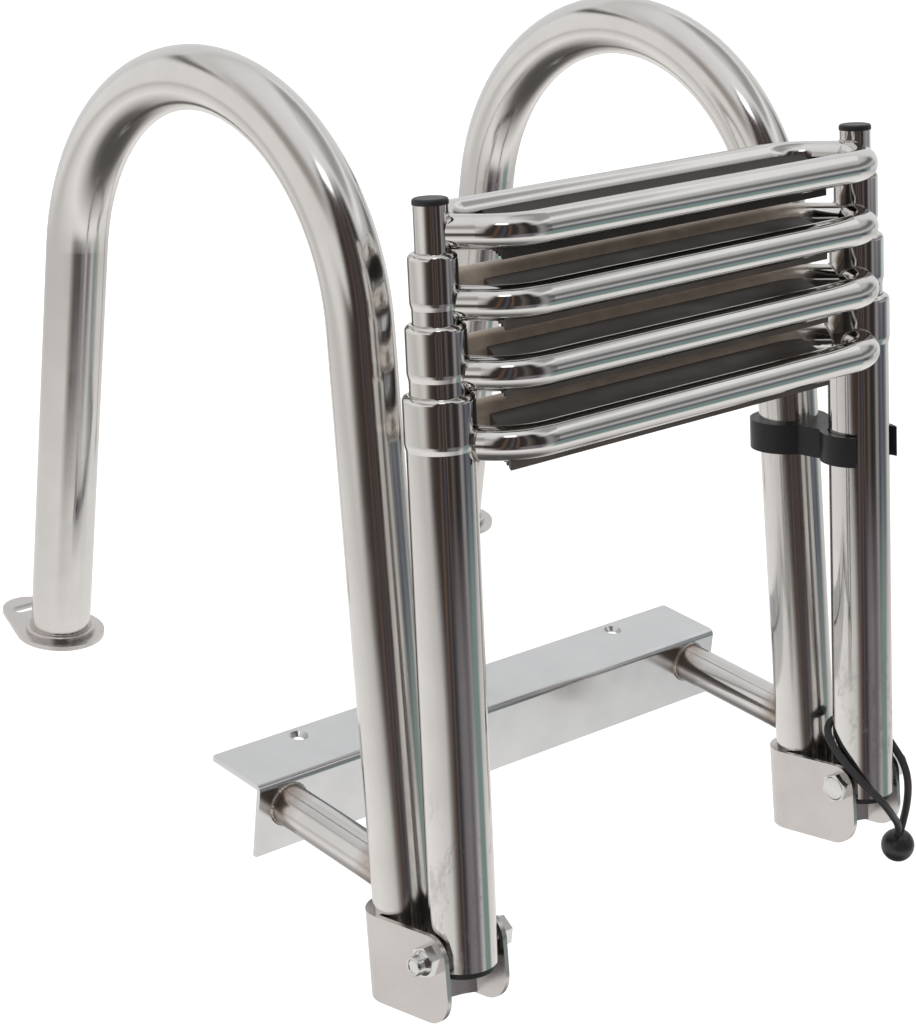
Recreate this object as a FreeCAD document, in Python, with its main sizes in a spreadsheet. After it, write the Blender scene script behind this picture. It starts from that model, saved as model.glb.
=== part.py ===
import FreeCAD, Part
import math
import os
import Sketcher
from FreeCAD import Placement, Rotation, Vector

# Folding stainless boarding ladder, stowed upright between its two handrails.
# Units are millimetres. X runs along the rungs, +Y points inboard over the deck,
# +Z points up from the deck. The origin is on the deck, under the mounting angle.

os.makedirs("parts", exist_ok=True)
doc = FreeCAD.newDocument("folding_ladder")
sheet = doc.addObject("Spreadsheet::Sheet", "Sizes")

TINY = 1e-9
SIDES = {"left": -1, "right": 1}


class Size:
    """A number that keeps the sheet rule it comes from beside its value."""

    def __init__(self, value, rule):
        self.value = value
        self.rule = rule

    def join(self, other, sign, value):
        return Size(value, "(%s %s %s)" % (self.rule, sign, rule(other)))

    def __add__(self, other):
        return self.join(other, "+", self.value + number(other))

    def __sub__(self, other):
        return self.join(other, "-", self.value - number(other))

    def __mul__(self, other):
        return self.join(other, "*", self.value * number(other))

    def __truediv__(self, other):
        return self.join(other, "/", self.value / number(other))

    def __neg__(self):
        return Size(-self.value, "(0 - %s)" % self.rule)


def number(thing):
    return thing.value if isinstance(thing, Size) else thing


def rule(thing):
    return thing.rule if isinstance(thing, Size) else repr(thing)


def sine(angle):
    return Size(math.sin(math.radians(angle.value)), "sin(%s * 1 deg)" % angle.rule)


def cosine(angle):
    return Size(math.cos(math.radians(angle.value)), "cos(%s * 1 deg)" % angle.rule)


def tangent(angle):
    return Size(math.tan(math.radians(angle.value)), "tan(%s * 1 deg)" % angle.rule)


def slope_angle(rise, run):
    """The angle whose tangent is rise over run."""
    ratio = rise / run
    return Size(math.degrees(math.atan(ratio.value)), "(atan(%s) / 1 deg)" % ratio.rule)


NONE = Size(0.0, "0")
QUARTER_TURN = Size(90.0, "90")
HALF_TURN = Size(180.0, "180")
next_row = [1]


def cell(name, value):
    """Put one driving dimension in the sheet and give back its Size."""
    address = "B%d" % next_row[0]
    sheet.set("A%d" % next_row[0], name)
    sheet.set(address, str(value))
    sheet.setAlias(address, name)
    next_row[0] += 1
    return Size(float(value), "Sizes." + name)


# Whole ladder
stile_spacing = cell("stile_spacing", 348.4)
hinge_reach = cell("hinge_reach", 182.0)
hinge_drop = cell("hinge_drop", 30.8)
stile_lean = cell("stile_lean", 10.3)
running_gap = cell("running_gap", 0.3)

# Handrails
rail_od = cell("rail_od", 38.1)
rail_wall = cell("rail_wall", 1.5)
front_leg_lean = cell("front_leg_lean", 12.8)
back_leg_lean = cell("back_leg_lean", 1.0)
back_leg_reach = cell("back_leg_reach", 218.8)
arch_radius = cell("arch_radius", 138.0)
leg_offset = cell("leg_offset", 47.9)
leg_end_drop = cell("leg_end_drop", 38.0)

# Deck flanges
plate_thickness = cell("plate_thickness", 3.0)
flange_radius = cell("flange_radius", 28.5)
tab_radius = cell("tab_radius", 17.5)
tab_reach = cell("tab_reach", 36.5)
socket_radius = cell("socket_radius", 22.5)
socket_rise = cell("socket_rise", 3.2)
slot_reach = cell("slot_reach", 38.0)
slot_width = cell("slot_width", 7.0)
slot_length = cell("slot_length", 20.0)
slot_bevel = cell("slot_bevel", 1.2)

# Hinge clevises
clevis_half_gap = cell("clevis_half_gap", 20.4)
clevis_front = cell("clevis_front", 10.5)
clevis_rise = cell("clevis_rise", 12.7)
clevis_fall = cell("clevis_fall", 39.5)
upper_corner = cell("upper_corner", 14.0)
lower_corner = cell("lower_corner", 18.0)
stop_gap = cell("stop_gap", 21.5)
stop_curve = cell("stop_curve", 34.0)
stop_bottom = cell("stop_bottom", 38.5)
stop_height = cell("stop_height", 12.5)

# Hinge bolts
bolt_od = cell("bolt_od", 10.0)
bolt_clearance = cell("bolt_clearance", 0.1)
hex_flats = cell("hex_flats", 16.0)
head_height = cell("head_height", 6.4)
nut_height = cell("nut_height", 7.5)
bolt_stub = cell("bolt_stub", 6.5)

# Mounting angle and standoffs
angle_length = cell("angle_length", 394.0)
angle_width = cell("angle_width", 47.5)
angle_height = cell("angle_height", 46.9)
angle_bend = cell("angle_bend", 4.0)
angle_corner = cell("angle_corner", 2.0)
angle_hole_spacing = cell("angle_hole_spacing", 274.0)
angle_hole_reach = cell("angle_hole_reach", 14.8)
angle_hole_od = cell("angle_hole_od", 6.6)
countersink_depth = cell("countersink_depth", 2.6)
standoff_od = cell("standoff_od", 25.4)
standoff_wall = cell("standoff_wall", 1.5)
standoff_drop = cell("standoff_drop", 14.8)

# Telescoping stages, from the outer tube to the innermost one
outer_od = cell("outer_od", 38.1)
second_od = cell("second_od", 31.8)
third_od = cell("third_od", 25.4)
inner_od = cell("inner_od", 19.05)
stile_wall = cell("stile_wall", 1.2)
stile_bottom = cell("stile_bottom", 8.8)
stile_below_arch = cell("stile_below_arch", 30.1)
stage_pitch = cell("stage_pitch", 38.4)
inner_rise = cell("inner_rise", 25.6)
inner_tube_bottom = cell("inner_tube_bottom", 9.0)
collar_length = cell("collar_length", 30.5)
collar_lip = cell("collar_lip", 4.0)
collar_wall = cell("collar_wall", 0.95)
collar_foot_wall = cell("collar_foot_wall", 0.15)
collar_foot_rise = cell("collar_foot_rise", 3.6)
collar_waist = cell("collar_waist", 12.0)
collar_face = cell("collar_face", 0.3)

# Rungs and treads
rung_od = cell("rung_od", 19.05)
rung_wall = cell("rung_wall", 1.2)
rung_half_depth = cell("rung_half_depth", 34.0)
rung_corner = cell("rung_corner", 146.0)
rung_corner_radius = cell("rung_corner_radius", 35.0)
rung_end = cell("rung_end", 168.0)
tread_half_length = cell("tread_half_length", 131.5)
tread_half_width = cell("tread_half_width", 28.0)
tread_skew = cell("tread_skew", 18.0)
tread_top = cell("tread_top", 2.5)
tread_bottom = cell("tread_bottom", 15.0)
rib_pitch = cell("rib_pitch", 7.0)
rib_depth = cell("rib_depth", 3.5)
rib_groove_width = cell("rib_groove_width", 4.9)
rib_grooves = cell("rib_grooves", 7)

# Caps and foot plugs
cap_od = cell("cap_od", 20.0)
cap_rise = cell("cap_rise", 3.4)
cap_round = cell("cap_round", 1.6)
plug_od = cell("plug_od", 36.2)
plug_depth = cell("plug_depth", 3.8)
plug_round = cell("plug_round", 0.8)
spigot_length = cell("spigot_length", 1.8)

# Storage clip
clip_height = cell("clip_height", 19.0)
clip_below_arch = cell("clip_below_arch", 126.6)
clip_rail_radius = cell("clip_rail_radius", 25.2)
clip_jaw_radius = cell("clip_jaw_radius", 24.6)
clip_jaw_gap = cell("clip_jaw_gap", 0.5)
clip_jaw_reach = cell("clip_jaw_reach", 14.0)
clip_web_half_width = cell("clip_web_half_width", 15.0)

# Ball cord
cord_od = cell("cord_od", 5.0)
ball_od = cell("ball_od", 22.0)
ball_across = cell("ball_across", 39.6)
ball_inboard = cell("ball_inboard", 4.4)
ball_down = cell("ball_down", 60.7)

# Sizes that follow from the driving ones
rail_radius = rail_od / 2
stile_radius = outer_od / 2
stile_x = stile_spacing / 2
clevis_half_width = clevis_half_gap + plate_thickness
bolt_radius = bolt_od / 2
hex_circumradius = hex_flats / 2 / cosine(QUARTER_TURN / 3)

# The arch touches both legs: the legs' straight runs follow from where they stand
leg_split = back_leg_lean + front_leg_lean
feet_apart = back_leg_reach + hinge_reach - leg_offset * cosine(front_leg_lean)
feet_step = plate_thickness + hinge_drop + leg_offset * sine(front_leg_lean)
arch_take = arch_radius * (cosine(leg_split) + 1)
back_leg_run = (feet_apart * cosine(front_leg_lean) - feet_step * sine(front_leg_lean) - arch_take) \
    / sine(leg_split)
front_leg_run = (feet_apart * cosine(back_leg_lean) + feet_step * sine(back_leg_lean) - arch_take) \
    / sine(leg_split) + leg_end_drop
arch_foot = front_leg_run - leg_end_drop
clip_place = arch_foot - clip_below_arch

# The stowed stages stand as high as the arch lets them
outer_top = arch_foot - stile_below_arch
inner_tube_top = outer_top + stage_pitch * 2 + inner_rise

# Rung ends slope from the corner of the loop to the middle of the stile
rung_slope = slope_angle(rung_half_depth, rung_end - rung_corner)
rung_setback = rung_corner_radius * tangent(rung_slope / 2)
rung_slope_run = (rung_end - rung_corner) / cosine(rung_slope) - rung_setback

pieces = {}


def bind(thing, name, size):
    """Give a property its value and the sheet rule behind it."""
    thing.setExpression(name, size.rule)


X_AXIS = (1, 0, 0)
Y_AXIS = (0, 1, 0)
Z_AXIS = (0, 0, 1)
LEAN_AXIS = (-1, 0, 0)


def place(thing, across=NONE, inboard=NONE, up=NONE, axis=X_AXIS, turn=NONE, field="Placement"):
    spot = (across, inboard, up)
    turned = Rotation(Vector(*[number(part) for part in axis]), turn.value)
    setattr(thing, field, Placement(Vector(*[number(part) for part in spot]), turned))
    values = tuple(rule(part) for part in spot + tuple(axis) + (turn,))
    thing.setExpression(field, "placement(vector(%s; %s; %s); rotation(vector(%s; %s; %s); %s * 1 deg))" % values)


def side_of(side):
    return stile_x * SIDES[side]


def on_stile(thing, across=NONE):
    """Local Z runs up the stowed stile from the hinge bolt, local Y points inboard."""
    place(thing, across, -hinge_reach, -hinge_drop, LEAN_AXIS, stile_lean)


def on_leg(thing, across=NONE):
    """Local Z runs up the front leg of the handrail from the hinge bolt."""
    place(thing, across, -hinge_reach, -hinge_drop, LEAN_AXIS, front_leg_lean)


def keep(name, thing):
    thing.Label = name
    pieces[name] = thing
    return thing


def body(name):
    return doc.addObject("PartDesign::Body", name)


def sketch_on(owner, name, role, lift=NONE):
    sketch = owner.newObject("Sketcher::SketchObject", name)
    plane = [item for item in owner.Origin.OriginFeatures if item.Role == role][0]
    sketch.AttachmentSupport = [(plane, "")]
    sketch.MapMode = "FlatFace"
    if lift is not NONE:
        bind(sketch, "AttachmentOffset.Base.z", lift)
    return sketch


def lock(sketch, geometry, point, across, up):
    """Hold one sketch point at sheet-driven coordinates."""
    for kind, size, axis in (("DistanceX", across, -2), ("DistanceY", up, -1)):
        if abs(size.value) < TINY:
            sketch.addConstraint(Sketcher.Constraint("PointOnObject", geometry, point, axis))
            continue
        index = sketch.addConstraint(Sketcher.Constraint(kind, geometry, point, size.value))
        bind(sketch, "Constraints[%d]" % index, size)


def add_circle(sketch, radius, across=NONE, up=NONE):
    centre = Vector(across.value, up.value, 0)
    geometry = sketch.addGeometry(Part.Circle(centre, Vector(0, 0, 1), radius.value))
    lock(sketch, geometry, 3, across, up)
    index = sketch.addConstraint(Sketcher.Constraint("Radius", geometry, radius.value))
    bind(sketch, "Constraints[%d]" % index, radius)
    return geometry


def add_outline(sketch, corners):
    """Close straight runs through sheet-driven corners."""
    spots = [Vector(across.value, up.value, 0) for across, up in corners]
    lines = []
    for start, end in zip(spots, spots[1:] + spots[:1]):
        lines.append(sketch.addGeometry(Part.LineSegment(start, end)))
    for line, following in zip(lines, lines[1:] + lines[:1]):
        sketch.addConstraint(Sketcher.Constraint("Coincident", line, 2, following, 1))
    for line, (across, up) in zip(lines, corners):
        lock(sketch, line, 1, across, up)


def pad(owner, name, sketch, length, midplane=False, reverse=False):
    feature = owner.newObject("PartDesign::Pad", name)
    feature.Profile = sketch
    feature.Midplane = midplane
    feature.Reversed = reverse
    bind(feature, "Length", length)
    return feature


def pocket_through(owner, name, sketch):
    feature = owner.newObject("PartDesign::Pocket", name)
    feature.Profile = sketch
    feature.Type = "ThroughAll"
    feature.Midplane = True
    return feature


def edges_where(shape, test):
    names = []
    for index, edge in enumerate(shape.Edges):
        if test(edge):
            names.append("Edge%d" % (index + 1))
    return names


def round_edges(owner, name, base, test, radius):
    """Fillet the edges of a feature that pass a test on their place."""
    doc.recompute()
    feature = owner.newObject("PartDesign::Fillet", name)
    feature.Base = (base, edges_where(base.Shape, test))
    bind(feature, "Radius", radius)
    doc.recompute()
    return feature


def along(edge, direction):
    """True for a straight edge that runs along a direction."""
    if not isinstance(edge.Curve, (Part.Line, Part.LineSegment)):
        return False
    ends = edge.Vertexes
    run = ends[-1].Point - ends[0].Point
    return run.Length > TINY and abs(abs(run.normalize().dot(direction)) - 1) < 1e-6


def near(value, target):
    return abs(value - number(target)) < 1e-3


def cylinder(name, radius, height):
    thing = doc.addObject("Part::Cylinder", name)
    bind(thing, "Radius", radius)
    bind(thing, "Height", height)
    return thing


def box(name, length, width, height):
    thing = doc.addObject("Part::Box", name)
    bind(thing, "Length", length)
    bind(thing, "Width", width)
    bind(thing, "Height", height)
    return thing


def cut(name, base, tool):
    thing = doc.addObject("Part::Cut", name)
    thing.Base = base
    thing.Tool = tool
    return thing


def fuse(name, things):
    thing = doc.addObject("Part::MultiFuse", name)
    thing.Shapes = things
    return thing


def tube(name, radius, wall, low, high):
    """A tube along local Z from one height to another."""
    skin = cylinder(name + "_skin", radius, high - low)
    place(skin, up=low)
    bore = cylinder(name + "_bore", radius - wall, high - low)
    place(bore, up=low)
    return cut(name, skin, bore)


# Handrail: one bent tube from the deck flange over the arch to the clevis

def rail_ring(owner, name, lift=NONE):
    """A sketch of the tube's ring section with a line for the arch's axis."""
    ring = sketch_on(owner, name, "XY_Plane", lift)
    add_circle(ring, rail_radius)
    add_circle(ring, rail_radius - rail_wall)
    ends = Vector(-rail_radius.value, -arch_radius.value, 0), Vector(rail_radius.value, -arch_radius.value, 0)
    axis = ring.addGeometry(Part.LineSegment(*ends), True)
    lock(ring, axis, 1, -rail_radius, -arch_radius)
    lock(ring, axis, 2, rail_radius, -arch_radius)
    return ring


def handrail(side):
    name = "handrail_" + side
    owner = body(name)
    foot = rail_ring(owner, name + "_foot")
    pad(owner, name + "_back_leg", foot, back_leg_run)
    crown = rail_ring(owner, name + "_crown", back_leg_run)
    arch = owner.newObject("PartDesign::Revolution", name + "_arch")
    arch.Profile = crown
    arch.ReferenceAxis = (crown, ["Axis0"])
    bind(arch, "Angle", HALF_TURN - leg_split)
    doc.recompute()
    shoulder = rail_ring(owner, name + "_shoulder")
    place(shoulder, NONE, -arch_take, back_leg_run + arch_radius * sine(leg_split),
          X_AXIS, -leg_split, "AttachmentOffset")
    pad(owner, name + "_front_leg", shoulder, front_leg_run, reverse=True)
    place(owner, side_of(side), back_leg_reach, plate_thickness, X_AXIS, back_leg_lean)
    return keep(name, owner)


# Deck flange: teardrop plate with a slotted screw hole and a socket that leans with the leg

def deck_flange(side):
    name = "deck_flange_" + side
    owner = body(name + "_blank")
    outline = sketch_on(owner, name + "_outline", "XY_Plane")
    big = flange_radius.value
    small = tab_radius.value
    reach = tab_reach.value
    tilt = math.asin((big - small) / reach)
    disc = Part.Circle(Vector(0, 0, 0), Vector(0, 0, 1), big)
    round_end = Part.Circle(Vector(0, reach, 0), Vector(0, 0, 1), small)
    base_arc = outline.addGeometry(Part.ArcOfCircle(disc, math.pi - tilt, 2 * math.pi + tilt))
    tab_arc = outline.addGeometry(Part.ArcOfCircle(round_end, tilt, math.pi - tilt))
    right_low = Vector(big * math.cos(tilt), big * math.sin(tilt), 0)
    right_high = Vector(small * math.cos(tilt), reach + small * math.sin(tilt), 0)
    left_low = Vector(-right_low.x, right_low.y, 0)
    left_high = Vector(-right_high.x, right_high.y, 0)
    right_line = outline.addGeometry(Part.LineSegment(right_low, right_high))
    left_line = outline.addGeometry(Part.LineSegment(left_high, left_low))
    outline.addConstraint(Sketcher.Constraint("Tangent", base_arc, 2, right_line, 1))
    outline.addConstraint(Sketcher.Constraint("Tangent", right_line, 2, tab_arc, 1))
    outline.addConstraint(Sketcher.Constraint("Tangent", tab_arc, 2, left_line, 1))
    outline.addConstraint(Sketcher.Constraint("Tangent", left_line, 2, base_arc, 1))
    lock(outline, base_arc, 3, NONE, NONE)
    lock(outline, tab_arc, 3, NONE, tab_reach)
    for arc, radius in ((base_arc, flange_radius), (tab_arc, tab_radius)):
        index = outline.addConstraint(Sketcher.Constraint("Radius", arc, radius.value))
        bind(outline, "Constraints[%d]" % index, radius)
    pad(owner, name + "_plate", outline, plate_thickness)
    ring = sketch_on(owner, name + "_ring", "XY_Plane", plate_thickness)
    add_circle(ring, socket_radius)
    socket = pad(owner, name + "_socket", ring, socket_rise)
    slot = sketch_on(owner, name + "_slot", "XY_Plane")
    half = (slot_length - slot_width) / 2
    end_radius = slot_width / 2
    ends = []
    for sign in (1, -1):
        turned = math.pi / 2 * sign
        circle = Part.Circle(Vector(half.value * sign, slot_reach.value, 0), Vector(0, 0, 1), end_radius.value)
        ends.append(slot.addGeometry(Part.ArcOfCircle(circle, -turned, turned)))
        lock(slot, ends[-1], 3, half * sign, slot_reach)
    top = Vector(0, end_radius.value + slot_reach.value, 0)
    low = Vector(0, slot_reach.value - end_radius.value, 0)
    shift = Vector(half.value, 0, 0)
    upper = slot.addGeometry(Part.LineSegment(top + shift, top - shift))
    lower = slot.addGeometry(Part.LineSegment(low - shift, low + shift))
    slot.addConstraint(Sketcher.Constraint("Tangent", ends[0], 2, upper, 1))
    slot.addConstraint(Sketcher.Constraint("Tangent", upper, 2, ends[1], 1))
    slot.addConstraint(Sketcher.Constraint("Tangent", ends[1], 2, lower, 1))
    slot.addConstraint(Sketcher.Constraint("Tangent", lower, 2, ends[0], 1))
    index = slot.addConstraint(Sketcher.Constraint("Radius", ends[0], end_radius.value))
    bind(slot, "Constraints[%d]" % index, end_radius)
    hole = pocket_through(owner, name + "_hole", slot)

    def slot_rim(edge):
        middle = edge.BoundBox.Center
        return near(edge.BoundBox.ZLength, 0) and near(middle.z, plate_thickness) \
            and abs(middle.y - slot_reach.value) < slot_width.value and edge.BoundBox.XLength < slot_length.value

    doc.recompute()
    bevel = owner.newObject("PartDesign::Chamfer", name + "_bevel")
    bevel.Base = (hole, edges_where(hole.Shape, slot_rim))
    bind(bevel, "Size", slot_bevel)
    doc.recompute()

    def socket_rim(edge):
        return near(edge.BoundBox.ZMax, plate_thickness + socket_rise) and near(edge.BoundBox.XMax, socket_radius)

    round_edges(owner, name + "_rim", bevel, socket_rim, socket_rise / 2)
    place(owner, side_of(side), back_leg_reach, NONE)
    leg = cylinder(name + "_leg", rail_radius, back_leg_run)
    place(leg, side_of(side), back_leg_reach, plate_thickness, X_AXIS, back_leg_lean)
    return keep(name, cut(name, owner, leg))


# Hinge clevis: plate bent round the foot of the front leg, cheeks open outboard

def hinge_clevis(side):
    name = "hinge_clevis_" + side
    owner = body(name)
    outline = sketch_on(owner, name + "_outline", "XY_Plane", -clevis_fall)
    front = -clevis_front
    outer = clevis_half_width
    inner = clevis_half_gap
    centre = Vector(0, leg_offset.value, 0)
    corners = [
        (-outer, leg_offset), (-outer, front), (-inner, front), (-inner, leg_offset), (-rail_radius, leg_offset),
        (rail_radius, leg_offset), (inner, leg_offset), (inner, front), (outer, front), (outer, leg_offset),
    ]
    spots = [Vector(across.value, up.value, 0) for across, up in corners]
    back = Part.ArcOfCircle(Part.Circle(centre, Vector(0, 0, 1), rail_radius.value), 0, math.pi)
    skin = Part.ArcOfCircle(Part.Circle(centre, Vector(0, 0, 1), outer.value), 0, math.pi)
    runs = [Part.LineSegment(spots[i], spots[i + 1]) for i in (0, 1, 2, 3, 5, 6, 7, 8)]
    chain = []
    for run in runs[:4] + [back] + runs[4:] + [skin]:
        chain.append(outline.addGeometry(run))
    turned_back = chain[4]
    for geometry, following in zip(chain, chain[1:] + chain[:1]):
        last = 1 if geometry == turned_back else 2
        first = 2 if following == turned_back else 1
        outline.addConstraint(Sketcher.Constraint("Coincident", geometry, last, following, first))
    for line in (0, 1, 2, 3, 5, 6, 7, 8):
        lock(outline, chain[line], 1, *corners[line])
    lock(outline, chain[3], 2, *corners[4])
    lock(outline, chain[8], 2, *corners[9])
    for arc in (4, 9):
        index = outline.addConstraint(Sketcher.Constraint("DistanceY", chain[arc], 3, leg_offset.value))
        bind(outline, "Constraints[%d]" % index, leg_offset)
    bent = pad(owner, name + "_bent", outline, clevis_rise + clevis_fall)

    def corner_at(height):
        def test(edge):
            middle = edge.BoundBox.Center
            return along(edge, Vector(1, 0, 0)) and near(middle.y, front) and near(middle.z, height)
        return test

    top_round = round_edges(owner, name + "_top", bent, corner_at(clevis_rise), upper_corner)
    low_round = round_edges(owner, name + "_low", top_round, corner_at(-clevis_fall), lower_corner)
    eye = sketch_on(owner, name + "_eye", "YZ_Plane")
    add_circle(eye, bolt_radius + bolt_clearance)
    before = low_round.Shape.Volume
    bore = pocket_through(owner, name + "_bore", eye)
    doc.recompute()
    if bore.Shape.Volume >= before:
        raise RuntimeError("the hinge eye cuts nothing in " + name)
    on_leg(owner, side_of(side))
    return keep(name, owner)


# Curved stop between the cheeks, which the stile meets when the ladder is down

def hinge_stop(side):
    name = "hinge_stop_" + side
    reach = clevis_half_gap * 2
    skin = cylinder(name + "_skin", stop_curve + plate_thickness, stop_height)
    hollow = cylinder(name + "_hollow", stop_curve, stop_height)
    shell = cut(name + "_shell", skin, hollow)
    window = box(name + "_window", reach, stop_curve * 2, stop_height)
    place(window, -clevis_half_gap, NONE, NONE)
    saddle = doc.addObject("Part::Common", name + "_saddle")
    saddle.Base = shell
    saddle.Tool = window
    lean = front_leg_lean
    back = stop_gap - stop_curve
    inboard = -hinge_reach + back * cosine(lean) - stop_bottom * sine(lean)
    up = -hinge_drop - back * sine(lean) - stop_bottom * cosine(lean)
    place(saddle, side_of(side), inboard, up, LEAN_AXIS, lean)
    return keep(name, saddle)


# Hinge bolt and nut: head inboard of the cheeks, nut and bolt end outboard

def across_axis(thing, side):
    """Local Z points from the middle of the ladder out through the cheeks."""
    place(thing, side_of(side), -hinge_reach, -hinge_drop, (0, SIDES[side], 0), QUARTER_TURN)


def hexagon(name, height):
    thing = doc.addObject("Part::Prism", name)
    thing.Polygon = 6
    bind(thing, "Circumradius", hex_circumradius)
    bind(thing, "Height", height)
    return thing


def hinge_bolt(side):
    name = "hinge_bolt_" + side
    head = hexagon(name + "_head", head_height)
    place(head, up=-clevis_half_width - head_height)
    shank = cylinder(name + "_shank", bolt_radius, clevis_half_width * 2 + nut_height + bolt_stub)
    place(shank, up=-clevis_half_width)
    whole = fuse(name, [head, shank])
    across_axis(whole, side)
    return keep(name, whole)


def hinge_nut(side):
    name = "hinge_nut_" + side
    block = hexagon(name + "_block", nut_height)
    place(block, up=clevis_half_width)
    thread = cylinder(name + "_thread", bolt_radius, nut_height)
    place(thread, up=clevis_half_width)
    whole = cut(name, block, thread)
    across_axis(whole, side)
    return keep(name, whole)


# Mounting angle: bent strip with two countersunk deck screws

def mounting_angle():
    name = "mounting_angle"
    owner = body(name)
    outline = sketch_on(owner, name + "_outline", "YZ_Plane")
    front = -angle_width / 2
    back = angle_width / 2
    top = plate_thickness
    foot = plate_thickness - angle_height
    add_outline(outline, [
        (front, top), (front, foot), (front + plate_thickness, foot),
        (front + plate_thickness, NONE), (back, NONE), (back, top),
    ])
    strip = pad(owner, name + "_strip", outline, angle_length, midplane=True)

    def bend_edge(edge):
        middle = edge.BoundBox.Center
        return along(edge, Vector(1, 0, 0)) and near(middle.y, front) and near(middle.z, top)

    def corner_edge(edge):
        middle = edge.BoundBox.Center
        return along(edge, Vector(0, 0, 1)) and near(middle.y, back)

    bend = round_edges(owner, name + "_bend", strip, bend_edge, angle_bend)
    round_edges(owner, name + "_corners", bend, corner_edge, angle_corner)
    holes = sketch_on(owner, name + "_holes", "XY_Plane")
    for sign in (-1, 1):
        add_circle(holes, angle_hole_od / 2, angle_hole_spacing / 2 * sign, angle_hole_reach)
    drilled = pocket_through(owner, name + "_drilled", holes)
    doc.recompute()

    def hole_rim(edge):
        return isinstance(edge.Curve, Part.Circle) and near(edge.Curve.Radius, angle_hole_od / 2) \
            and near(edge.BoundBox.ZMax, top)

    sink = owner.newObject("PartDesign::Chamfer", name + "_countersink")
    sink.Base = (drilled, edges_where(drilled.Shape, hole_rim))
    bind(sink, "Size", countersink_depth)
    doc.recompute()
    return keep(name, owner)


def front_leg_core(name, side):
    """A solid bar in the place of the front leg, to cope what fits round it."""
    core = cylinder(name, rail_radius, front_leg_run)
    lean = front_leg_lean
    inboard = leg_offset * cosine(lean) - leg_end_drop * sine(lean) - hinge_reach
    fall = leg_offset * sine(lean) + leg_end_drop * cosine(lean) + hinge_drop
    place(core, side_of(side), inboard, -fall, LEAN_AXIS, lean)
    return core


# Standoff: tube from the front leg to the mounting angle, coped round the leg

def standoff(side):
    name = "standoff_" + side
    reach = hinge_reach - angle_width / 2 - leg_offset
    skin = cylinder(name + "_skin", standoff_od / 2, reach)
    bore = cylinder(name + "_bore", standoff_od / 2 - standoff_wall, reach)
    bar = cut(name + "_bar", skin, bore)
    place(bar, side_of(side), -angle_width / 2, -standoff_drop, X_AXIS, QUARTER_TURN)
    return keep(name, cut(name, bar, front_leg_core(name + "_leg", side)))


# Storage clip: moulded band round the right front leg with an open jaw for the stile

def storage_clip():
    name = "storage_clip"
    turn = front_leg_lean - stile_lean
    leg_distance = (leg_offset + clip_place * sine(turn)) / cosine(turn)
    ring = cylinder(name + "_ring", clip_rail_radius, clip_height)
    place(ring, inboard=leg_distance)
    jaw = cylinder(name + "_jaw", clip_jaw_radius, clip_height)
    web = box(name + "_web", clip_web_half_width * 2, leg_distance, clip_height)
    place(web, -clip_web_half_width)
    solid = fuse(name + "_solid", [ring, jaw, web])
    seat = cylinder(name + "_seat", stile_radius + clip_jaw_gap, clip_height)
    mouth = box(name + "_mouth", (stile_radius + clip_jaw_gap) * 2, clip_jaw_radius, clip_height)
    place(mouth, -(stile_radius + clip_jaw_gap), -clip_jaw_radius)
    front = box(name + "_front", clip_jaw_radius * 2, clip_jaw_radius, clip_height)
    place(front, -clip_jaw_radius, -clip_jaw_reach - clip_jaw_radius)
    shaped = cut(name + "_shaped", solid, fuse(name + "_openings", [seat, mouth, front]))
    base = clip_place - clip_height / 2
    lean = stile_lean
    place(shaped, stile_x, -hinge_reach + base * sine(lean), -hinge_drop + base * cosine(lean),
          LEAN_AXIS, lean)
    return keep(name, cut(name, shaped, front_leg_core(name + "_leg", "right")))


# Telescoping tubes and their collars

def outer_tube(side):
    name = "outer_tube_" + side
    plain = tube(name + "_plain", stile_radius, stile_wall, -stile_bottom, outer_top - collar_lip)
    eye = cylinder(name + "_eye", bolt_radius + bolt_clearance, rail_od * 2)
    place(eye, -rail_od, axis=Y_AXIS, turn=QUARTER_TURN)
    whole = cut(name, plain, eye)
    on_stile(whole, side_of(side))
    return keep(name, whole)


def sliding_tube(stage, side, diameter, top):
    name = "%s_tube_%s" % (stage, side)
    whole = tube(name, diameter / 2, stile_wall, inner_tube_bottom, top)
    on_stile(whole, side_of(side))
    return keep(name, whole)


def collar(stage, side, diameter, slider, top):
    """A sleeve over the top of one tube, closing in on the tube that slides in it."""
    name = "%s_collar_%s" % (stage, side)
    owner = body(name)
    outline = sketch_on(owner, name + "_outline", "XZ_Plane")
    grip = diameter / 2
    foot = top - collar_length
    lip = top - collar_lip
    bore = slider / 2 + running_gap
    add_outline(outline, [
        (bore, lip), (grip, lip), (grip, foot), (grip + collar_foot_wall, foot),
        (grip + collar_wall, foot + collar_foot_rise), (grip + collar_wall, top), (bore, top),
    ])
    turned = owner.newObject("PartDesign::Revolution", name + "_turned")
    turned.Profile = outline
    turned.ReferenceAxis = (outline, ["V_Axis"])
    turned.Angle = 360

    def rim_at(height):
        def test(edge):
            return near(edge.BoundBox.ZMin, height) and near(edge.BoundBox.ZMax, height) \
                and near(edge.BoundBox.XMax, grip + collar_wall)
        return test

    shoulder = grip + collar_wall - bore - collar_face
    shouldered = round_edges(owner, name + "_shoulder", turned, rim_at(top), shoulder)
    round_edges(owner, name + "_waist", shouldered, rim_at(foot + collar_foot_rise), collar_waist)
    on_stile(owner, side_of(side))
    return keep(name, owner)


# Rungs: closed loops of tube between the stiles

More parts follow.
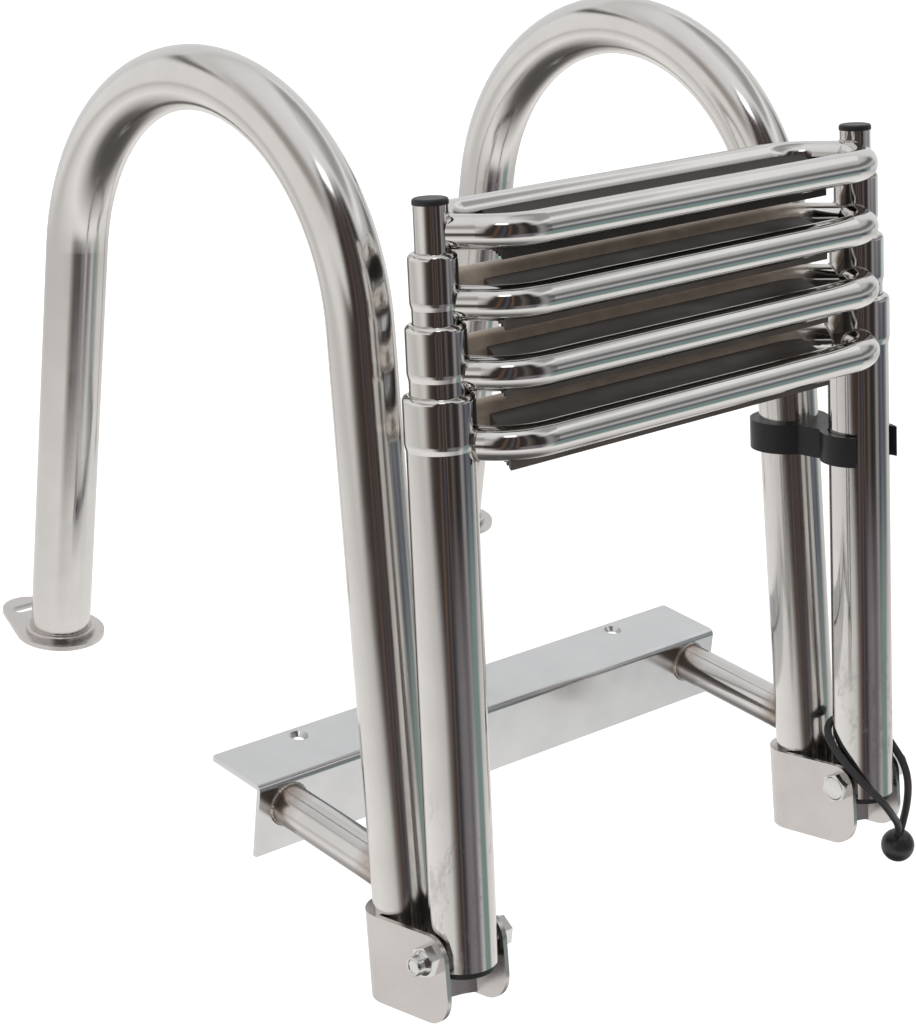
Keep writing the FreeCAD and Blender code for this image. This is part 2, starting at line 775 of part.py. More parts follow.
def quarter_loop(name, radius):
    """A quarter of a loop, from the middle of the outboard bar to the right stile."""
    bar = cylinder(name + "_bar", radius, rung_corner - rung_setback)
    place(bar, NONE, -rung_half_depth, NONE, Y_AXIS, QUARTER_TURN)
    bow = doc.addObject("Part::Torus", name + "_bow")
    bind(bow, "Radius1", rung_corner_radius)
    bind(bow, "Radius2", radius)
    bind(bow, "Angle3", rung_slope)
    place(bow, rung_corner - rung_setback, rung_corner_radius - rung_half_depth, NONE, Z_AXIS, -QUARTER_TURN)
    slope = cylinder(name + "_slope", radius, rung_slope_run)
    place(slope, rung_end, NONE, NONE, (sine(rung_slope), -cosine(rung_slope), NONE), QUARTER_TURN)
    return fuse(name, [bar, bow, slope])


def whole_loop(name, radius):
    """Mirror the quarter about the middle of the rung and about the stiles."""
    quarter = quarter_loop(name + "_quarter", radius)
    parts = [quarter]
    for label, normal in (("_left", Vector(1, 0, 0)), ("_inboard", Vector(0, 1, 0))):
        half = parts[0] if len(parts) == 1 else fuse(name + "_half", parts)
        mirror = doc.addObject("Part::Mirroring", name + label)
        mirror.Source = half
        mirror.Normal = normal
        parts = [half, mirror]
    whole = fuse(name, parts)
    whole.Refine = True
    return whole


def at_rung(thing, height):
    lean = stile_lean
    place(thing, NONE, height * sine(lean) - hinge_reach, height * cosine(lean) - hinge_drop, LEAN_AXIS, lean)


def rung(stage, carrier_radius, height, collars=()):
    name = "%s_rung" % stage
    skin = whole_loop(name + "_skin", rung_od / 2)
    bore = whole_loop(name + "_bore", rung_od / 2 - rung_wall)
    hollow = cut(name + "_hollow", skin, bore)
    at_rung(hollow, height)
    tools = []
    for side in SIDES:
        post = cylinder("%s_post_%s" % (name, side), carrier_radius, height + stage_pitch)
        on_stile(post, side_of(side))
        tools.append(post)
    whole = cut(name, hollow, fuse(name + "_posts", tools + list(collars)))
    return keep(name, whole)


# Treads: ribbed plastic grips held between the two bars of a rung

def tread(stage, height):
    name = "%s_tread" % stage
    owner = body(name + "_grip")
    outline = sketch_on(owner, name + "_outline", "XY_Plane", -tread_bottom)
    add_outline(outline, [
        (-tread_half_length - tread_skew, -tread_half_width), (tread_half_length - tread_skew, -tread_half_width),
        (tread_half_length + tread_skew, tread_half_width), (-tread_half_length + tread_skew, tread_half_width),
    ])
    pad(owner, name + "_block", outline, tread_top + tread_bottom)
    notch = sketch_on(owner, name + "_notch", "YZ_Plane")
    first = -rib_pitch * (rib_grooves - 1) / 2
    add_outline(notch, [
        (first - rib_groove_width / 2, -tread_bottom), (first + rib_groove_width / 2, -tread_bottom),
        (first, rib_depth - tread_bottom),
    ])
    groove = pocket_through(owner, name + "_groove", notch)
    doc.recompute()
    ribs = owner.newObject("PartDesign::LinearPattern", name + "_ribs")
    ribs.Originals = [groove]
    ribs.Direction = (notch, ["H_Axis"])
    bind(ribs, "Length", rib_pitch * (rib_grooves - 1))
    bind(ribs, "Occurrences", rib_grooves)
    owner.Tip = ribs
    seated = cut(name, owner, whole_loop(name + "_seat", rung_od / 2))
    at_rung(seated, height)
    return keep(name, seated)


# Domed caps on the innermost tubes and plugs in the stile feet

def stopper(name, side, base, radius, rise, spigot_radius, spigot, rounding):
    """A round head on a spigot; a negative rise hangs the head under the base."""
    owner = body(name)
    head_sketch = sketch_on(owner, name + "_head", "XY_Plane", base)
    add_circle(head_sketch, radius)
    head = pad(owner, name + "_disc", head_sketch, rise * (1 if rise.value > 0 else -1), reverse=rise.value < 0)
    face = base + rise

    def free_rim(edge):
        return isinstance(edge.Curve, Part.Circle) and near(edge.BoundBox.ZMin, face) \
            and near(edge.BoundBox.ZMax, face)

    round_edges(owner, name + "_rim", head, free_rim, rounding)
    stem_sketch = sketch_on(owner, name + "_stem", "XY_Plane", base)
    add_circle(stem_sketch, spigot_radius)
    pad(owner, name + "_spigot", stem_sketch, spigot, reverse=rise.value > 0)
    on_stile(owner, side_of(side))
    return keep(name, owner)


# Ball cord looped round the right stile above the clevis

CORD_POINTS = (
    (36.7, 2.6, -52.9),
    (31.8, -2.8, -45.0),
    (20.5, -11.2, -35.5),
    (9.5, -16.5, -26.5),
    (-1.0, -21.5, -17.5),
    (-10.2, -22.3, -7.5),
    (-17.6, -14.9, 2.8),
    (-21.9, -6.8, 13.4),
    (-22.4, 2.7, 21.5),
    (-19.4, 12.2, 28.0),
    (-11.4, 19.8, 32.5),
    (0.0, 22.9, 34.5),
    (11.4, 19.8, 33.5),
    (19.4, 12.2, 30.0),
    (22.8, 1.5, 23.5),
    (23.0, -7.9, 14.0),
    (25.2, -13.2, 4.5),
    (28.6, -13.9, -8.5),
    (32.6, -9.8, -24.5),
    (38.0, -2.0, -41.0),
    (41.8, 4.2, -53.0),
)
BEND_SHARE = 0.45


def rounded_route(points):
    """Straight runs joined by tangent arcs, each arc using a share of the shorter run."""
    spots = [Vector(*point) for point in points]
    edges = []
    start = spots[0]
    for before, corner, after in zip(spots, spots[1:], spots[2:]):
        come = (corner - before).normalize()
        leave = (after - corner).normalize()
        back = BEND_SHARE * min((corner - before).Length, (after - corner).Length)
        arc_start = corner - come * back
        arc_end = corner + leave * back
        turn = come.getAngle(leave)
        radius = back / math.tan(turn / 2)
        print("cord bend radius %.1f mm" % radius)
        inward = (leave - come).normalize()
        centre = corner + inward * math.hypot(radius, back)
        middle = centre - inward * radius
        edges.append(Part.LineSegment(start, arc_start).toShape())
        edges.append(Part.Arc(arc_start, middle, arc_end).toShape())
        start = arc_end
    edges.append(Part.LineSegment(start, spots[-1]).toShape())
    return Part.Wire(edges)


def ball_cord():
    route = rounded_route(CORD_POINTS)
    start = Vector(*CORD_POINTS[0])
    heading = Vector(*CORD_POINTS[1]) - start
    radius = sheet.cord_od / 2
    section = Part.Wire([Part.makeCircle(radius, start, heading)])
    thing = doc.addObject("Part::Feature", "ball_cord")
    thing.Shape = route.makePipeShell([section], True, False)
    on_stile(thing, stile_x)
    return keep("ball_cord", thing)


def cord_ball():
    ball = doc.addObject("Part::Sphere", "cord_ball_sphere")
    bind(ball, "Radius", ball_od / 2)
    place(ball, ball_across, ball_inboard, -ball_down)
    route = doc.addObject("Part::Feature", "cord_ball_bore")
    route.Shape = pieces["ball_cord"].Shape.copy()
    route.Placement = Placement()
    whole = cut("cord_ball", ball, route)
    on_stile(whole, stile_x)
    return keep("cord_ball", whole)


doc.recompute()
for side in SIDES:
    handrail(side)
    deck_flange(side)
    hinge_clevis(side)
    hinge_stop(side)
    hinge_bolt(side)
    hinge_nut(side)
    standoff(side)
mounting_angle()
storage_clip()

STAGES = (("outer", outer_od, second_od), ("second", second_od, third_od), ("third", third_od, inner_od))
for step, (stage, diameter, slider) in enumerate(STAGES):
    top = outer_top + stage_pitch * step
    for side in SIDES:
        if step == 0:
            outer_tube(side)
        else:
            sliding_tube(stage, side, diameter, top - collar_lip)
        collar(stage, side, diameter, slider, top)
for side in SIDES:
    sliding_tube("inner", side, inner_od, inner_tube_top)

for step, (stage, diameter) in enumerate(
        (("outer", outer_od), ("second", second_od), ("third", third_od), ("inner", inner_od))):
    height = outer_top + stage_pitch * (step - 1) + rung_od / 2 + running_gap
    collars = [pieces["%s_collar_%s" % (stage, side)] for side in SIDES] if stage != "inner" else []
    rung(stage, diameter / 2, height, collars)
    tread(stage, height)

for side in SIDES:
    stopper("top_cap_" + side, side, inner_tube_top, cap_od / 2, cap_rise,
            inner_od / 2 - stile_wall, cap_rise, cap_round)
    stopper("foot_plug_" + side, side, -stile_bottom, plug_od / 2, -plug_depth,
            stile_radius - stile_wall, spigot_length, plug_round)
ball_cord()
cord_ball()

doc.recompute()
for item in doc.Objects:
    if "Invalid" in item.State or "Error" in item.State:
        raise RuntimeError("%s did not build: %s" % (item.Name, item.State))
triangles = 0
for name, item in pieces.items():
    shape = item.Shape
    if shape.isNull() or not shape.isValid():
        raise RuntimeError("%s has no valid shape" % name)
    if not shape.Solids:
        raise RuntimeError("%s has no solid" % name)
    shape.exportStep("parts/%s.step" % name)
    triangles += len(shape.tessellate(0.1)[1])
    print("%-22s %2d solid(s) %9.0f mm3" % (name, len(shape.Solids), shape.Volume))
print("%d pieces, %d triangles at 0.1 mm" % (len(pieces), triangles))
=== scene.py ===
import bmesh
import bpy
import itertools
import math
from mathutils import Matrix, Vector

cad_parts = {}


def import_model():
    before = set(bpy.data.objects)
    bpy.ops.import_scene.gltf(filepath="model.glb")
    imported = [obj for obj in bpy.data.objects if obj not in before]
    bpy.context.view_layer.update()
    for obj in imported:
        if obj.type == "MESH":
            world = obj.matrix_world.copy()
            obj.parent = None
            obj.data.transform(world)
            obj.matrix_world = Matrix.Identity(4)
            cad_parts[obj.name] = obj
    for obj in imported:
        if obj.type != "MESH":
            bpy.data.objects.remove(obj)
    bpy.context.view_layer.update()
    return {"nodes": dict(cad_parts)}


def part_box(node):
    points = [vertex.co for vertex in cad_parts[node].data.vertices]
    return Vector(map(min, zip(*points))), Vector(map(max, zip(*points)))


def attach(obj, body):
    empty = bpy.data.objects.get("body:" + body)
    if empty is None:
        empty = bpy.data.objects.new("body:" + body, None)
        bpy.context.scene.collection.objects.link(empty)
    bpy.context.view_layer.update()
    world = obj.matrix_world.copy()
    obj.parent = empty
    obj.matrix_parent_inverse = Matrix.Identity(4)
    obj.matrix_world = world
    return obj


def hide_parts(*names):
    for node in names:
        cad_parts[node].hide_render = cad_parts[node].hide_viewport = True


# Folding boarding ladder, stowed upright between its two deck handrails, in a white studio.
# Metres, in the frame of the CAD: X along the rungs, +Y inboard over the deck, +Z up.

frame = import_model()
nodes = frame["nodes"]


scene = bpy.context.scene

# Sizes that the CAD also uses

SIDES = {"left": -1, "right": 1}
STILE_X = 0.1742
HINGE_Y = -0.182
HINGE_Z = -0.0308
STILE_LEAN = math.radians(10.3)
BACK_LEG_Y = 0.2188
BACK_LEG_LEAN = math.radians(-1)
SLIDE_REACH = 3 * 0.24
RUNG_RADIUS = 0.009525
RUNG_CORNER = 0.146
RUNG_END = 0.168
RUNG_DEPTH = 0.034

# For each stage: the rung's height on the stile, the radius of the tube or collar that carries it, and the body
STAGES = {
    "outer": (0.2884, 0.0200, "outer_stage"),
    "second": (0.3268, 0.01685, "second_stage"),
    "third": (0.3652, 0.01365, "third_stage"),
    "inner": (0.4036, 0.009525, "inner_stage"),
}


def stile_frame(across):
    """Matrix of a frame on the hinge axis whose Z runs up a stile, which leans inboard."""
    return Matrix.Translation((across, HINGE_Y, HINGE_Z)) @ Matrix.Rotation(-STILE_LEAN, 4, "X")


# Camera

CAMERA_SPOT = (-1.08949, -1.10193, 0.77594)
CAMERA_AZIMUTH = math.radians(44.059)
CAMERA_ELEVATION = math.radians(19.037)
CAMERA_ROLL = math.radians(-4.909)


def make_camera():
    data = bpy.data.cameras.new("camera")
    data.sensor_width = 36.0
    data.lens = 93.63
    data.shift_x = -0.02483
    data.shift_y = -0.16973
    data.clip_start = 0.05
    camera = bpy.data.objects.new("camera", data)
    scene.collection.objects.link(camera)
    level_part = math.cos(CAMERA_ELEVATION)
    ahead = Vector((math.sin(CAMERA_AZIMUTH) * level_part, math.cos(CAMERA_AZIMUTH) * level_part,
                    -math.sin(CAMERA_ELEVATION)))
    level = Vector((math.cos(CAMERA_AZIMUTH), -math.sin(CAMERA_AZIMUTH), 0.0))
    down = ahead.cross(level)
    right = math.cos(CAMERA_ROLL) * level + math.sin(CAMERA_ROLL) * down
    up = math.sin(CAMERA_ROLL) * level - math.cos(CAMERA_ROLL) * down
    turned_to_view = Matrix((right, up, -ahead)).transposed().to_4x4()
    camera.matrix_world = Matrix.Translation(CAMERA_SPOT) @ turned_to_view
    scene.camera = camera


make_camera()

# Ball cord: a loop of cord round the foot of the right stile, both ends in its ball

# Millimetres, in the frame of the right stile
CORD_POINTS = (
    (36.7, 2.6, -52.9),
    (31.8, -2.8, -45.0),
    (20.5, -11.2, -35.5),
    (9.5, -16.5, -26.5),
    (-1.0, -21.5, -17.5),
    (-10.2, -22.3, -7.5),
    (-17.6, -14.9, 2.8),
    (-21.9, -6.8, 13.4),
    (-22.4, 2.7, 21.5),
    (-19.4, 12.2, 28.0),
    (-11.4, 19.8, 32.5),
    (0.0, 22.9, 34.5),
    (11.4, 19.8, 33.5),
    (19.4, 12.2, 30.0),
    (22.8, 1.5, 23.5),
    (23.0, -7.9, 14.0),
    (25.2, -13.2, 4.5),
    (28.6, -13.9, -8.5),
    (32.6, -9.8, -24.5),
    (38.0, -2.0, -41.0),
    (41.8, 4.2, -53.0),
)
CORD_DIAMETER = 0.005


def make_cord():
    to_row = stile_frame(STILE_X)
    spots = [to_row @ (Vector(point) / 1000) for point in CORD_POINTS]
    curve = bpy.data.curves.new("shock_cord", "CURVE")
    curve.dimensions = "3D"
    # The points carry the radius, so that the curve's bound box fits it
    curve.bevel_depth = 1.0
    curve.bevel_resolution = 5
    curve.resolution_u = 24
    curve.use_fill_caps = True
    spline = curve.splines.new("NURBS")
    spline.points.add(len(spots) - 1)
    for point, spot in zip(spline.points, spots):
        point.co = (*spot, 1.0)
        point.radius = CORD_DIAMETER / 2
    spline.order_u = 3
    spline.use_endpoint_u = True
    cord = bpy.data.objects.new("shock_cord", curve)
    scene.collection.objects.link(cord)
    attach(cord, "outer_stage")
    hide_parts("ball_cord")
    return cord


cord = make_cord()

# Shapes that the scene adds


def circle(centre, axis, radius, count):
    """Points of a circle about an axis."""
    axis = axis.normalized()
    side = axis.orthogonal().normalized()
    other = axis.cross(side)
    turns = [2 * math.pi * step / count for step in range(count)]
    return [centre + (side * math.cos(turn) + other * math.sin(turn)) * radius for turn in turns]


def add_piece(name, mesh, body):
    """Make a finished mesh a piece that rides on a body."""
    bmesh.ops.recalc_face_normals(mesh, faces=mesh.faces)
    data = bpy.data.meshes.new(name)
    mesh.to_mesh(data)
    mesh.free()
    piece = bpy.data.objects.new(name, data)
    scene.collection.objects.link(piece)
    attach(piece, body)
    return piece


# Weld beads

BEAD_CORNERS = 10
BEAD_STEP = 2 * math.pi / 3
BEAD_RIPPLE = 0.12
BEAD_TIP = 0.3
RUNG_BEAD = 0.0008
STANDOFF_BEAD = 0.0011
STANDOFF_WELD_RADIUS = 0.0130
STANDOFF_WELD_SINK = 0.0004
FLANGE_BEAD = 0.0009
FLANGE_WELD_RADIUS = 0.0193
FLANGE_WELD_RISE = 0.0002
RING_STEPS = 90
SEAM_STEPS = 96
SEAM_WIDEST = 0.985
SEAM_INSIDE = 0.97
SEAM_SHORTEST = 4
beads = []


def bead_rings(mesh, path, radius, closed):
    """Rings of vertices along a path, swelling and shrinking like the ripples of a bead."""
    rings = []
    count = len(path)
    side = None
    for index, spot in enumerate(path):
        before = path[index - 1] if closed or index else path[0]
        after = path[(index + 1) % count] if closed or index < count - 1 else path[-1]
        ahead = (after - before).normalized()
        side = ahead.orthogonal().normalized() if side is None else (side - ahead * side.dot(ahead)).normalized()
        other = ahead.cross(side)
        swell = radius * (1 - BEAD_RIPPLE + BEAD_RIPPLE * math.cos(index * BEAD_STEP))
        if not closed and index in (0, count - 1):
            swell *= BEAD_TIP
        turns = [2 * math.pi * corner / BEAD_CORNERS for corner in range(BEAD_CORNERS)]
        rings.append([mesh.verts.new(spot + (side * math.cos(turn) + other * math.sin(turn)) * swell)
                      for turn in turns])
    return rings


def bead(name, paths, radius, body, closed=False):
    """A rippled weld bead along each path of points."""
    mesh = bmesh.new()
    for path in paths:
        rings = bead_rings(mesh, path, radius, closed)
        spans = list(zip(rings, rings[1:]))
        if closed:
            spans.append((rings[-1], rings[0]))
        else:
            mesh.faces.new(list(reversed(rings[0])))
            mesh.faces.new(rings[-1])
        for low, high in spans:
            for corner in range(BEAD_CORNERS):
                follow = (corner + 1) % BEAD_CORNERS
                mesh.faces.new((low[corner], low[follow], high[follow], high[corner]))
    piece = add_piece(name, mesh, body)
    for face in piece.data.polygons:
        face.use_smooth = True
    beads.append(piece)


def rung_seam(carrier, face):
    """Where one sloping end of a rung meets its tube, in the right stile's frame, as runs of points."""
    toward = Vector((RUNG_CORNER - RUNG_END, face * RUNG_DEPTH, 0.0)).normalized()
    sideways = Vector((-toward.y, toward.x, 0.0))
    twin_sideways = Vector((toward.y, toward.x, 0.0))
    start = Vector((RUNG_END - STILE_X, 0.0, 0.0))
    offset = start.dot(sideways)
    path = []
    for step in range(SEAM_STEPS):
        turn = 2 * math.pi * step / SEAM_STEPS + math.pi / 2
        across = offset + RUNG_RADIUS * math.sin(turn)
        up = RUNG_RADIUS * math.cos(turn)
        spot = None
        if abs(across) <= carrier * SEAM_WIDEST:
            spot = sideways * across + toward * math.sqrt(carrier ** 2 - across ** 2) + Vector((0.0, 0.0, up))
            # The part inside the rung's other sloping end is left out
            beside = (Vector((spot.x, spot.y, 0.0)) - start).dot(twin_sideways)
            if beside ** 2 + up ** 2 < (RUNG_RADIUS * SEAM_INSIDE) ** 2:
                spot = None
        path.append(spot)
    gap = next((index for index, spot in enumerate(path) if spot is None), 0)
    path = path[gap:] + path[:gap]
    runs = [list(run) for there, run in itertools.groupby(path, lambda spot: spot is not None) if there]
    return [run for run in runs if len(run) >= SEAM_SHORTEST]


def rung_welds():
    for stage, (height, carrier, body) in STAGES.items():
        seams = [run for face in (-1, 1) for run in rung_seam(carrier, face)]
        for side, sign in SIDES.items():
            to_row = stile_frame(sign * STILE_X)
            rise = Vector((0.0, 0.0, height))
            paths = [[to_row @ (Vector((spot.x * sign, spot.y, spot.z)) + rise) for spot in run] for run in seams]
            bead("%s_rung_weld_%s" % (stage, side), paths, RUNG_BEAD, body)


def frame_welds():
    leg_axis = Vector((0, math.sin(BACK_LEG_LEAN), 1))
    for side, sign in SIDES.items():
        low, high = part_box("standoff_" + side)
        middle = (low + high) / 2
        inner_face = Vector((middle.x, high.y - STANDOFF_WELD_SINK, middle.z))
        path = circle(inner_face, Vector((0, 1, 0)), STANDOFF_WELD_RADIUS, RING_STEPS)
        bead("standoff_weld_" + side, [path], STANDOFF_BEAD, "deck_frame", True)
        flange_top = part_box("deck_flange_" + side)[1].z
        leg_foot = Vector((sign * STILE_X, BACK_LEG_Y, flange_top + FLANGE_WELD_RISE))
        path = circle(leg_foot, leg_axis, FLANGE_WELD_RADIUS, RING_STEPS)
        bead("flange_weld_" + side, [path], FLANGE_BEAD, "deck_frame", True)


rung_welds()
frame_welds()

# Turned details of the hinge bolts

# (radius, height) in millimetres, from the end of the bolt outward
HEAD_FACE = ((7.75, -0.4), (7.75, 0.0), (7.2, 0.32), (6.6, 0.42), (0, 0.42))
NUT_COLLAR = ((7.3, -7.0), (7.3, -6.2), (6.9, -5.4), (6.0, -4.6), (5.6, -4.0), (5.5, -0.5), (5.25, 0.35),
              (4.9, 0.6), (4.2, 0.6), (3.9, 0.45), (3.75, 0.05), (3.75, -0.3))
TURNED_STEPS = 64
SHARP_FROM = math.radians(28)
turnings = []


def turned(name, profile, centre, axis):
    """A shape turned about an axis from (radius, height) pairs in millimetres."""
    mesh = bmesh.new()
    rings = []
    for radius, height in profile:
        middle = centre + axis * height / 1000
        spots = circle(middle, axis, radius / 1000, TURNED_STEPS) if radius else [middle]
        rings.append([mesh.verts.new(spot) for spot in spots])
    for low, high in zip(rings, rings[1:]):
        for step in range(TURNED_STEPS):
            follow = (step + 1) % TURNED_STEPS
            corners = [low[step % len(low)], low[follow % len(low)], high[follow % len(high)], high[step % len(high)]]
            mesh.faces.new(list(dict.fromkeys(corners)))
    piece = add_piece(name, mesh, "deck_frame")
    piece.data.set_sharp_from_angle(angle=SHARP_FROM)
    turnings.append(piece)


def bolt_details():
    for side in SIDES:
        bolt_low, bolt_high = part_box("hinge_bolt_" + side)
        nut_low, nut_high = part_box("hinge_nut_" + side)
        nut_is_low = nut_low.x + nut_high.x < bolt_low.x + bolt_high.x
        ends = (bolt_low.x, bolt_high.x) if nut_is_low else (bolt_high.x, bolt_low.x)
        out = -1 if nut_is_low else 1
        turned("nut_collar_" + side, NUT_COLLAR, Vector((ends[0], HINGE_Y, HINGE_Z)), Vector((out, 0, 0)))
        turned("head_face_" + side, HEAD_FACE, Vector((ends[1], HINGE_Y, HINGE_Z)), Vector((-out, 0, 0)))


bolt_details()

# Materials


class Nodes:
    """A short way to build one node material."""

    def __init__(self, name):
        self.material = bpy.data.materials.new(name)
        self.material.use_nodes = True
        self.tree = self.material.node_tree
        self.shader = self.tree.nodes["Principled BSDF"]

    def add(self, kind, **settings):
        node = self.tree.nodes.new(kind)
        for key, value in settings.items():
            setattr(node, key, value)
        return node

    def link(self, source, target):
        self.tree.links.new(source, target)

    def place(self, scale=(1.0, 1.0, 1.0), turn=(0.0, 0.0, 0.0)):
        """Object coordinates, turned and scaled."""
        spot = self.add("ShaderNodeTexCoord")
        mapping = self.add("ShaderNodeMapping")
        mapping.inputs["Scale"].default_value = scale
        mapping.inputs["Rotation"].default_value = turn
        self.link(spot.outputs["Object"], mapping.inputs["Vector"])
        return mapping.outputs["Vector"]

    def coordinate(self, axis):
        """One object coordinate, by its number."""
        spot = self.add("ShaderNodeTexCoord")
        split = self.add("ShaderNodeSeparateXYZ")
        self.link(spot.outputs["Object"], split.inputs[0])
        return split.outputs[axis]

    def noise(self, vector, scale, detail=4.0, roughness=0.6):
        noise = self.add("ShaderNodeTexNoise")
        noise.inputs["Scale"].default_value = scale
        noise.inputs["Detail"].default_value = detail
        noise.inputs["Roughness"].default_value = roughness
        self.link(vector, noise.inputs["Vector"])
        return noise.outputs["Fac"]

    def ramp(self, value, stops):
        """A colour for each value, from (position, grey or colour) stops."""
        ramp = self.add("ShaderNodeValToRGB")
        elements = ramp.color_ramp.elements
        while len(elements) < len(stops):
            elements.new(0.5)
        for element, (position, tone) in zip(elements, stops):
            element.position = position
            element.color = (*tone, 1.0) if isinstance(tone, tuple) else (tone, tone, tone, 1.0)
        self.link(value, ramp.inputs["Fac"])
        return ramp.outputs["Color"]

    def reach(self, value, low, high, out_low, out_high):
        """A value between low and high, brought to between out_low and out_high."""
        reach = self.add("ShaderNodeMapRange")
        for socket, number in (("From Min", low), ("From Max", high), ("To Min", out_low), ("To Max", out_high)):
            reach.inputs[socket].default_value = number
        self.link(value, reach.inputs["Value"])
        return reach.outputs["Result"]

    def math(self, operation, first, second=None):
        node = self.add("ShaderNodeMath", operation=operation)
        for socket, value in zip(node.inputs, (first, second)):
            if isinstance(value, (int, float)):
                socket.default_value = value
            elif value is not None:
                self.link(value, socket)
        return node.outputs[0]

    def mix(self, factor, first, second):
        node = self.add("ShaderNodeMix", data_type="RGBA")
        for socket, value in ((node.inputs[0], factor), (node.inputs[6], first), (node.inputs[7], second)):
            if isinstance(value, (int, float)):
                socket.default_value = value if socket == node.inputs[0] else (value, value, value, 1.0)
            elif isinstance(value, tuple):
                socket.default_value = (*value, 1.0)
            else:
                self.link(value, socket)
        return node.outputs[2]

    def bump(self, height, strength, distance, below=None):
        bump = self.add("ShaderNodeBump")
        bump.inputs["Strength"].default_value = strength
        bump.inputs["Distance"].default_value = distance
        self.link(height, bump.inputs["Height"])
        if below is not None:
            self.link(below, bump.inputs["Normal"])
        return bump.outputs["Normal"]

    def set(self, **values):
        """Give sockets of the shader a number, a colour or a link."""
        for name, value in values.items():
            socket = self.shader.inputs[name.replace("_", " ")]
            if isinstance(value, (int, float)):
                socket.default_value = value
            elif isinstance(value, tuple):
                socket.default_value = (*value, 1.0)
            else:
                self.link(value, socket)
        return self.material


UPRIGHT = (STILE_LEAN, 0.0, 0.0)
CROSSWISE = (0.0, math.radians(90), 0.0)
ALONG_Z = (0.0, 0.0, 0.0)
GRAIN_SCALE = (900.0, 900.0, 14.0)
GRAIN_BUMP = 0.05
GRAIN_DEPTH = 0.00006
SMUDGE_SCALE = 26.0
WAVE_SCALE = 160.0
WAVE_BUMP = 0.02
WAVE_DEPTH = 0.0004
DULLED = 0.93


def steel(name, tone, haze, grain_turn=ALONG_Z, smudge=0.06, scratch=0.35, stain=None, relief=1.0):
    """Polished stainless: smudges in the gloss, a fine lengthwise grain and a slight waviness."""
    make = Nodes(name)
    cloud = make.noise(make.place(), SMUDGE_SCALE, 5.0)
    fine = make.noise(make.place(), WAVE_SCALE, 3.0)
    grain = make.noise(make.place(GRAIN_SCALE, grain_turn), 1.0, 2.0)
    gloss = make.reach(cloud, 0.35, 0.7, haze, haze + smudge)
    gloss = make.math("ADD", gloss, make.reach(grain, 0.45, 0.75, 0.0, smudge * scratch))
    dull = make.reach(cloud, 0.3, 0.75, 0.0, 1.0)
    colour = make.mix(dull, tone, tuple(part * DULLED for part in tone))
    make.set(Metallic=1.0)
    if stain is not None:
        colour, gloss = stain(make, colour, gloss)
    wave = make.bump(fine, WAVE_BUMP * relief, WAVE_DEPTH)
    lines = make.bump(grain, GRAIN_BUMP * relief, GRAIN_DEPTH, wave)
    return make.set(Base_Color=colour, Roughness=gloss, Normal=lines)


def depth_from_stiles(make):
    """How far inboard of the stiles' common plane a point lies, in metres."""
    inboard = (0.0, math.cos(STILE_LEAN), -math.sin(STILE_LEAN))
    spot = make.add("ShaderNodeTexCoord")
    dot = make.add("ShaderNodeVectorMath", operation="DOT_PRODUCT")
    make.link(spot.outputs["Object"], dot.inputs[0])
    dot.inputs[1].default_value = inboard
    return make.math("SUBTRACT", dot.outputs["Value"], HINGE_Y * inboard[1] + HINGE_Z * inboard[2])


# Painted reflection on the inboard bar of the lower rungs: depths from the stiles' plane between which the inboard
# bar lies, and how far from the middle its painted tan fades
BAR_STARTS = (0.012, 0.020)
BAR_ENDS = (0.034, 0.041)
TAN_FADES = (0.125, 0.152)
REFLECTED_TAN_SHADES = ((0.60, 0.49, 0.39), (0.74, 0.62, 0.51))
TAN_METAL = 0.25
TAN_HAZE = 0.42


def painted_bar_reflection(make, colour, gloss):
    """Painted reflection: a dull tan, with less metal and more haze, stands in for the treads above mirrored in the
    inboard bar of a lower rung, and clears towards its ends.
    """
    depth = depth_from_stiles(make)
    inboard = make.math("MULTIPLY", make.reach(depth, *BAR_STARTS, 0.0, 1.0), make.reach(depth, *BAR_ENDS, 1.0, 0.0))
    from_middle = make.math("ABSOLUTE", make.coordinate(0))
    inboard = make.math("MULTIPLY", inboard, make.reach(from_middle, *TAN_FADES, 1.0, 0.35))
    mottle = make.noise(make.place(), 55.0)
    tan = make.mix(make.reach(mottle, 0.35, 0.65, 0.0, 1.0), *REFLECTED_TAN_SHADES)
    make.set(Metallic=make.reach(inboard, 0.0, 1.0, 1.0, TAN_METAL))
    return make.mix(inboard, colour, tan), make.mix(inboard, gloss, TAN_HAZE)


HEAT_BROWN = (0.36, 0.27, 0.21)
HEAT_HAZE = 0.3


def heat_tint(make, colour, gloss):
    """Brown heat tint at both ends of a standoff, where it is welded."""
    low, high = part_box("standoff_left")
    along = make.coordinate(1)
    near_low = make.reach(along, low.y + 0.003, low.y + 0.016, 1.0, 0.0)
    near_high = make.reach(along, high.y - 0.022, high.y - 0.003, 0.0, 1.0)
    burnt = make.math("MAXIMUM", near_low, near_high)
    mottle = make.noise(make.place(), 90.0)
    burnt = make.math("MULTIPLY", burnt, make.reach(mottle, 0.3, 0.6, 0.35, 0.9))
    return make.mix(burnt, colour, HEAT_BROWN), make.mix(burnt, gloss, HEAT_HAZE)


# Heights between which the scuffs thin out
SCUFFS_THIN = (0.03, 0.075)
SCUFF_TONE = (0.62, 0.61, 0.60)
SCUFF_HAZE = 0.22


def worn_foot(make, colour, gloss):
    """Scuffs and smudges low on a stile, where it rubs in its clevis."""
    low = make.reach(make.coordinate(2), *SCUFFS_THIN, 1.0, 0.0)
    scuff = make.noise(make.place((1.0, 1.0, 0.45)), 75.0, 7.0, 0.72)
    scuff = make.math("MULTIPLY", low, make.reach(scuff, 0.51, 0.60, 0.0, 0.85))
    return make.mix(scuff, colour, SCUFF_TONE), make.math("ADD", gloss, make.math("MULTIPLY", scuff, SCUFF_HAZE))


